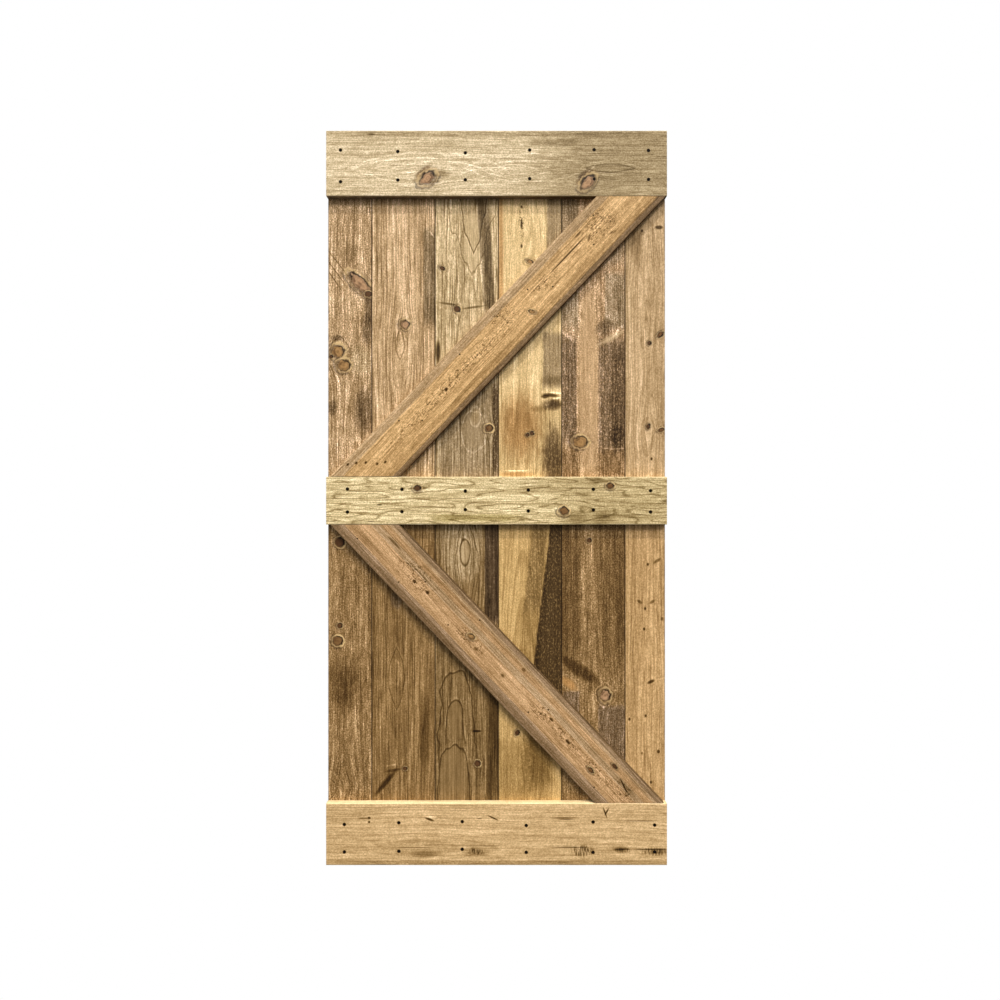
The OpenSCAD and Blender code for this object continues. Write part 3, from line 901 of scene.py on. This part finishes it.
def bruised(board, face, fasteners, u, v, depth):
    """Paints shade, with some dirt, into the wood round the heads of a board's own fasteners, where their
    countersinks lie.
    """
    for low, high in (box for name in fasteners for box in solids(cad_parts[name])):
        place = (low + high) / 2 - face
        off = u - place.dot(board.grain) / MM, v - place.dot(board.across) / MM
        head = (high.x - low.x) / 2 / MM
        near = (off[0] * off[0] + off[1] * off[1]).math("SQRT").step(head + 1.5, head + 0.3)
        depth = depth + near * HEAD_PAINTED_SHADE_AND_DIRT
    return depth


def fibres(look, u, v, w, field, line):
    """Clean wood: its coarse and fine fibres, its grit, and how dark these and its rings are."""
    seed = look["seed"]
    coarse = noise(u / 240, field / 3.4, w / 3.4 + seed, 2.0, 0.55)
    fine = noise(u / 80, field / 2.0, w / 2.0 + seed, 2.0, 0.6)
    broad = noise(u / 420, field / 18, w / 18 + seed, 2.0)
    mottle = noise(u / 30, v / 14, w / 14 - seed, 2.0, 0.6)
    grit = noise(u / 4.5, v / 3.5, w / 3.5 + seed, 2.0, 0.6)
    hair = noise(u / 260, field / 5.0, w / 5.0 - seed, 1.0).peak(0.5, 0.035)
    depth = (coarse - 0.5) * 1.5 + (fine - 0.5) * 1.7 + (broad - 0.5) * 1.3
    depth = depth * look["contrast"] + hair * look["hair"] - look["hair"] * 0.15
    depth = depth + ((mottle - 0.5) * 0.9 + (grit - 0.5) * 2.2) * look["mottle"]
    return coarse, fine, grit, depth + line * look["rings"][-1]


def contours(look, u, w, field, ragged):
    """The wavy lines of a figured board."""
    levels = noise(u / 200, field / 32, w / 32 - look["seed"], 1.0) * 7 + (ragged - 0.5) * 0.4
    return levels.math("FRACT").peak(0.5, 0.09) * look["figure"]


def wood(board, fasteners):
    """Pine with the board's own tones, grain, knots and stains."""
    look = LOOKS[board.name]
    seed = look["seed"]
    material, tree, shader = new_material(board.name + "_pine")
    face = board.middle + OUT * board.thick / 2
    u, v, w = distances(tree, face, (board.grain, board.across, OUT))
    field, line = grain_lines(u, v, w, look)
    coarse, fine, grit, depth = fibres(look, u, v, w, field, line)
    ragged = noise(u / 30, v / 7, w / 7 + seed, 3.0)
    lumps = noise(u / 12, v / 12, w / 12 + seed, 1.0)
    speck = noise(u / 8, field / 4.5, w / 4.5 - seed, 3.0, 0.7).step(0.5, 0.62)

    base = tone(*look["upper"])
    if "lower" in look:
        base = mix((u + (ragged - 0.5) * 300).step(-120, 160), tone(*look["lower"]), base)
    if "figure" in look:
        depth = depth + contours(look, u, w, field, ragged)
    base, depth = soaked(look, u, v, base, depth, ragged, grit, speck)
    depth = drawn(look, u, v, w, ragged, depth)
    # Painted shade, with some dirt, round the fastener heads on rails and braces.
    if board.slot != "planks":
        depth = bruised(board, face, fasteners, u, v, depth)
    colour, = use(tree, DYE, base, depth)
    height = coarse * 0.5 + fine * 0.35 + line * 0.35 + grit * 0.25
    for at_u, at_v, length, width, turn, kind in spots(look, "knots"):
        colour, height = use(tree, KNOT_PAINT, colour, height, u, v, lumps if width > 9 else grit,
                             at_u, at_v, length, width, turn, *KNOTS[kind])
    # Dark plank joints, and painted shade and painted highlights on the sides and edges of rails and
    # braces.
    colour = edged(board, colour, v, w)
    rough = 0.62 + (fine - 0.5) * 0.3 + (grit - 0.5) * 0.2 - line * 0.05
    shader.inputs["Specular IOR Level"].default_value = WOOD_SHINE
    finish_shader(tree, shader, colour, rough, height, WOOD_RELIEF)
    return material


def coated_metal(name, bright, dull, metallic, rough):
    """A fastener's coating, rubbed brighter in places."""
    material, tree, shader = new_material(name)
    x, y, z = distances(tree, Vector((0, 0, 0)), ((1, 0, 0), (0, 1, 0), (0, 0, 1)))
    patch = noise(x / 3.1, y / 3.1, z / 3.1, 3.0, 0.6)
    grit = noise(x / 0.5, y / 0.5, z / 0.5, 2.0)
    colour = mix(patch.step(0.35, 0.7), tone(*dull), tone(*bright))
    shader.inputs["Metallic"].default_value = metallic
    shader.inputs["Specular IOR Level"].default_value = METAL_SHINE
    finish_shader(tree, shader, colour, rough + (patch - 0.5) * 0.3, grit, METAL_RELIEF)
    return material


# ---------------------------- building the door


def build(board, outline, firm, fasteners):
    """Makes a board's piece and puts it in place of its CAD node."""
    piece = add_object(board.name + "_wood", board_mesh(board, outline, firm, board.name))
    cut_holes(piece, fasteners)
    piece.data.polygons.foreach_set("use_smooth", [True] * len(piece.data.polygons))
    piece.data.set_sharp_from_angle(angle=math.radians(SMOOTH_BELOW))
    piece.data.materials.clear()
    piece.data.materials.append(wood(board, fasteners))
    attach(piece, "root")
    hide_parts(board.name)


for number, look in enumerate(LOOKS.values()):
    look["seed"] = SEED_STEP * number + FIRST_SEED

RAIL_SCREWS = ["top_rail_screws", "middle_rail_screws", "bottom_rail_screws"]
BRACE_NAILS = ["upper_brace_nails", "lower_brace_nails"]

all_planks = list(planks())
for plank in all_planks:
    section = plank_outline(plank, plank is not all_planks[0], plank is not all_planks[-1])
    build(plank, section, True, RAIL_SCREWS + BRACE_NAILS)
for rail in rails():
    build(rail, plain_outline(rail), False, [rail.name + "_screws"])
for brace in braces():
    build(brace, plain_outline(brace), False, [brace.name + "_nails"])

black_screw = coated_metal("black_screw", (22, 14, 9), (8, 5, 3), 0.0, 0.7)
brown_nail = coated_metal("brown_nail", (88, 62, 40), (50, 34, 22), 0.2, 0.6)
for names, metal in ((RAIL_SCREWS, black_screw), (BRACE_NAILS, brown_nail)):
    for name in names:
        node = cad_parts[name]
        node.data.materials.clear()
        node.data.materials.append(metal)


# ---------------------------- studio

STUDIO_RADIUS = 30.0
CAMERA_PLACE = Vector((0.010, -1.619, 1.061))
CAMERA_LENS = 19.84
LAMPS = {
    "key": (Vector((-7, 19, -20)), 1.9, 18),
    "top": (Vector((-2, 19, -43)), 2.3, 3),
}
AMBIENT_LOW, AMBIENT_HIGH = 0.12, 1.0
LIGHT_TINT = (1.0, 0.99, 0.95)


def white_stage(name, dome):
    """A white round floor, or a white dome over it, that only the camera sees."""
    mesh = bpy.data.meshes.new(name)
    bm = bmesh.new()
    if dome:
        bmesh.ops.create_icosphere(bm, subdivisions=4, radius=STUDIO_RADIUS)
    else:
        bmesh.ops.create_circle(bm, cap_ends=True, segments=64, radius=STUDIO_RADIUS)
    bm.to_mesh(mesh)
    bm.free()
    stage = add_object(name, mesh)
    material = bpy.data.materials.new(name)
    tree = empty_tree(material)
    glow = tree.nodes.new("ShaderNodeEmission")
    output = tree.nodes.new("ShaderNodeOutputMaterial")
    tree.links.new(glow.outputs[0], output.inputs["Surface"])
    mesh.materials.append(material)
    stage.visible_diffuse = False
    stage.visible_glossy = False
    stage.visible_transmission = False
    stage.visible_shadow = False


def ambient():
    """Soft light from all round, brighter from above."""
    world = bpy.data.worlds.new("studio")
    bpy.context.scene.world = world
    tree = empty_tree(world)
    split = tree.nodes.new("ShaderNodeSeparateXYZ")
    tree.links.new(tree.nodes.new("ShaderNodeTexCoord").outputs["Generated"], split.inputs[0])
    height = Field(tree, split.outputs["Z"])
    back = tree.nodes.new("ShaderNodeBackground")
    back.inputs["Color"].default_value = (*LIGHT_TINT, 1.0)
    level = height.step(-0.4, 0.8) * (AMBIENT_HIGH - AMBIENT_LOW) + AMBIENT_LOW
    tree.links.new(level.socket, back.inputs["Strength"])
    output = tree.nodes.new("ShaderNodeOutputWorld")
    tree.links.new(back.outputs[0], output.inputs["Surface"])


def lamp(name, direction, strength, spread):
    """A lamp far off: which way it shines, its strength and how wide it is in degrees."""
    light = bpy.data.lights.new(name, "SUN")
    light.energy = strength
    light.angle = math.radians(spread)
    light.color = LIGHT_TINT
    stand = add_object(name, light)
    stand.rotation_euler = direction.to_track_quat("-Z", "Y").to_euler()


def camera():
    """Stands in front of the door and looks straight at it."""
    lens = bpy.data.cameras.new("camera")
    lens.lens = CAMERA_LENS
    lens.sensor_width = 36
    stand = add_object("camera", lens)
    stand.location = CAMERA_PLACE
    stand.rotation_euler = (math.radians(90), 0, 0)
    bpy.context.scene.camera = stand


white_stage("floor", dome=False)
white_stage("backdrop", dome=True)
ambient()
for name, settings in LAMPS.items():
    lamp(name, *settings)
camera()
bpy.context.scene.view_settings.view_transform = "Standard"
